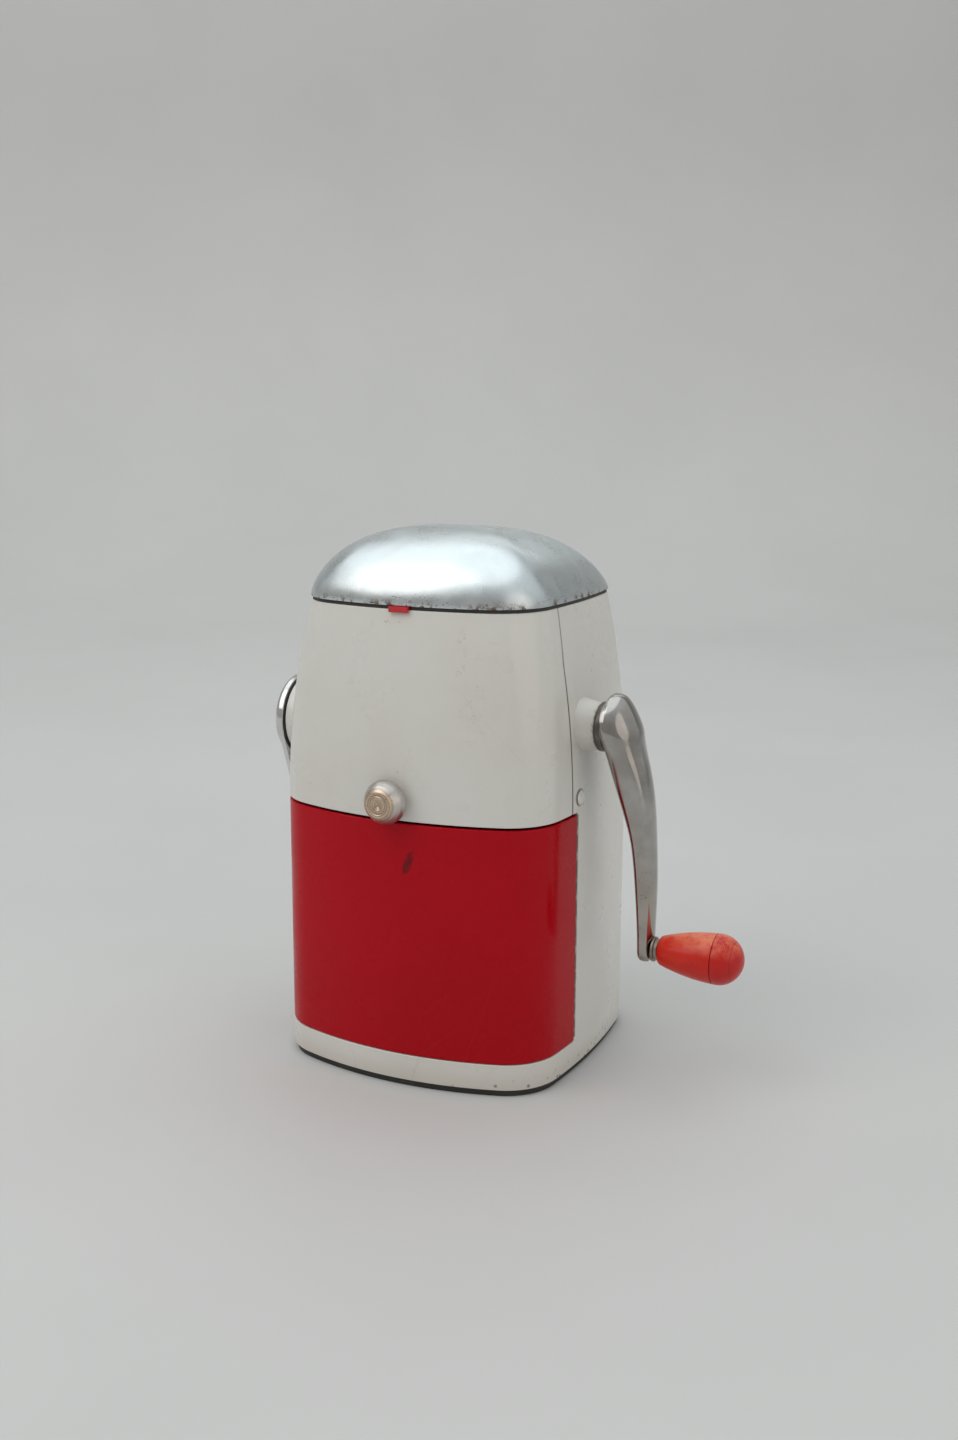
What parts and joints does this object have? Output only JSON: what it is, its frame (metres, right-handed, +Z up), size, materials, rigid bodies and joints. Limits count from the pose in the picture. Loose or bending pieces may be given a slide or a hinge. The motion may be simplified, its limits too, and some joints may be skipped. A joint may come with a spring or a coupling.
{
  "type": "hand crank ice crusher",
  "caption": "Upright hand crank ice crusher with a hinged chrome lid, white shell, side crank with egg-shaped grip, coarse and fine selector, toothed rotor and pull-out red bin.",
  "frame": {"origin": "on the table plane, under the middle of the body", "axes": "+X towards the crank, -Y towards the front with the bin and its knob, +Z up"},
  "size_m": [0.2289, 0.1492, 0.2465],
  "materials": {
    "white_enamel": "gloss enamel, aged, with small chips",
    "lid_chrome": "worn chrome plate, fine scratches, light pitting at the rim",
    "crank_chrome": "polished chrome plate",
    "cap_chrome": "polished chrome plate",
    "knob_metal": "turned, satin",
    "steel": "plain turned steel",
    "dark_steel": "dark oiled steel",
    "cast_metal": "cast, dull",
    "cutter_metal": "tinned casting, dull grey",
    "bearing_brass": "turned",
    "bin_red": "deep crimson, gloss, with scuffs",
    "tab_red": "red, gloss",
    "grip_red": "orange red, gloss",
    "seal_black": "black, matte",
    "pad_black": "black, dull",
    "ring_black": "black, matte"
  },
  "bodies": {
    "housing": {"rear_housing": "white_enamel", "front_cover": "white_enamel", "cover_rivets": "white_enamel", "base_pad": "pad_black", "lid_gasket": "seal_black", "hopper": "cast_metal", "hopper_screws": "steel", "breaker_comb": "cutter_metal", "comb_screws": "steel", "rotor_bush_left": "bearing_brass", "rotor_bush_right": "bearing_brass", "crank_bush": "bearing_brass", "selector_bush": "bearing_brass", "hinge_pin": "steel"},
    "lid": {"lid_shell": "lid_chrome", "lid_hinge_leaf": "steel", "lid_rivets": "steel", "lid_tab": "tab_red"},
    "crank": {"crank_arm": "crank_chrome", "crank_collar": "dark_steel", "crank_set_screw": "dark_steel", "crank_shaft": "steel", "shaft_clip": "dark_steel", "rotor": "cutter_metal", "rotor_pin": "steel", "grip_spindle": "steel", "grip_ferrule": "steel"},
    "grip": {"grip_body": "grip_red", "grip_cap": "grip_red"},
    "selector": {"selector_cap": "cap_chrome", "selector_ring": "ring_black", "selector_shaft": "steel"},
    "gate": {"gate_plate": "cutter_metal", "gate_rod": "steel", "gate_lever": "steel"},
    "bin": {"ice_bin": "bin_red"},
    "latch": {"latch_knob": "knob_metal", "latch_washer": "steel", "latch_stem": "steel", "latch_tongue": "steel", "latch_nut": "steel"}
  },
  "joints": [
    {"name": "lid_hinge", "type": "hinge", "parent": "housing", "child": "lid", "pos_m": [0, 0.067, 0.2095], "axis": [-1, 0, 0], "range_deg": [0, 100]},
    {"name": "crank_turn", "type": "hinge", "parent": "housing", "child": "crank", "pos_m": [0, -0.0085, 0.1608], "axis": [1, 0, 0], "continuous": true},
    {"name": "grip_spin", "type": "hinge", "parent": "crank", "child": "grip", "pos_m": [0.105, -0.0085, 0.0613], "axis": [1, 0, 0], "continuous": true},
    {"name": "selector_turn", "type": "hinge", "parent": "housing", "child": "selector", "pos_m": [-0.08, -0.009, 0.1525], "axis": [1, 0, 0], "range_deg": [-25, 25]},
    {"name": "gate_tilt", "type": "hinge", "parent": "housing", "child": "gate", "pos_m": [0, 0.026, 0.158], "axis": [1, 0, 0], "range_deg": [-9, 9]},
    {"name": "bin_slide", "type": "slide", "parent": "housing", "child": "bin", "axis": [0, -1, 0], "range_m": [0, 0.105]},
    {"name": "latch_turn", "type": "hinge", "parent": "housing", "child": "latch", "pos_m": [0, -0.0667, 0.132], "axis": [0, 1, 0], "range_deg": [0, 90]}
  ],
  "couplings": [
    {"joint": "gate_tilt", "follows": "selector_turn", "ratio": -0.3405}
  ]
}
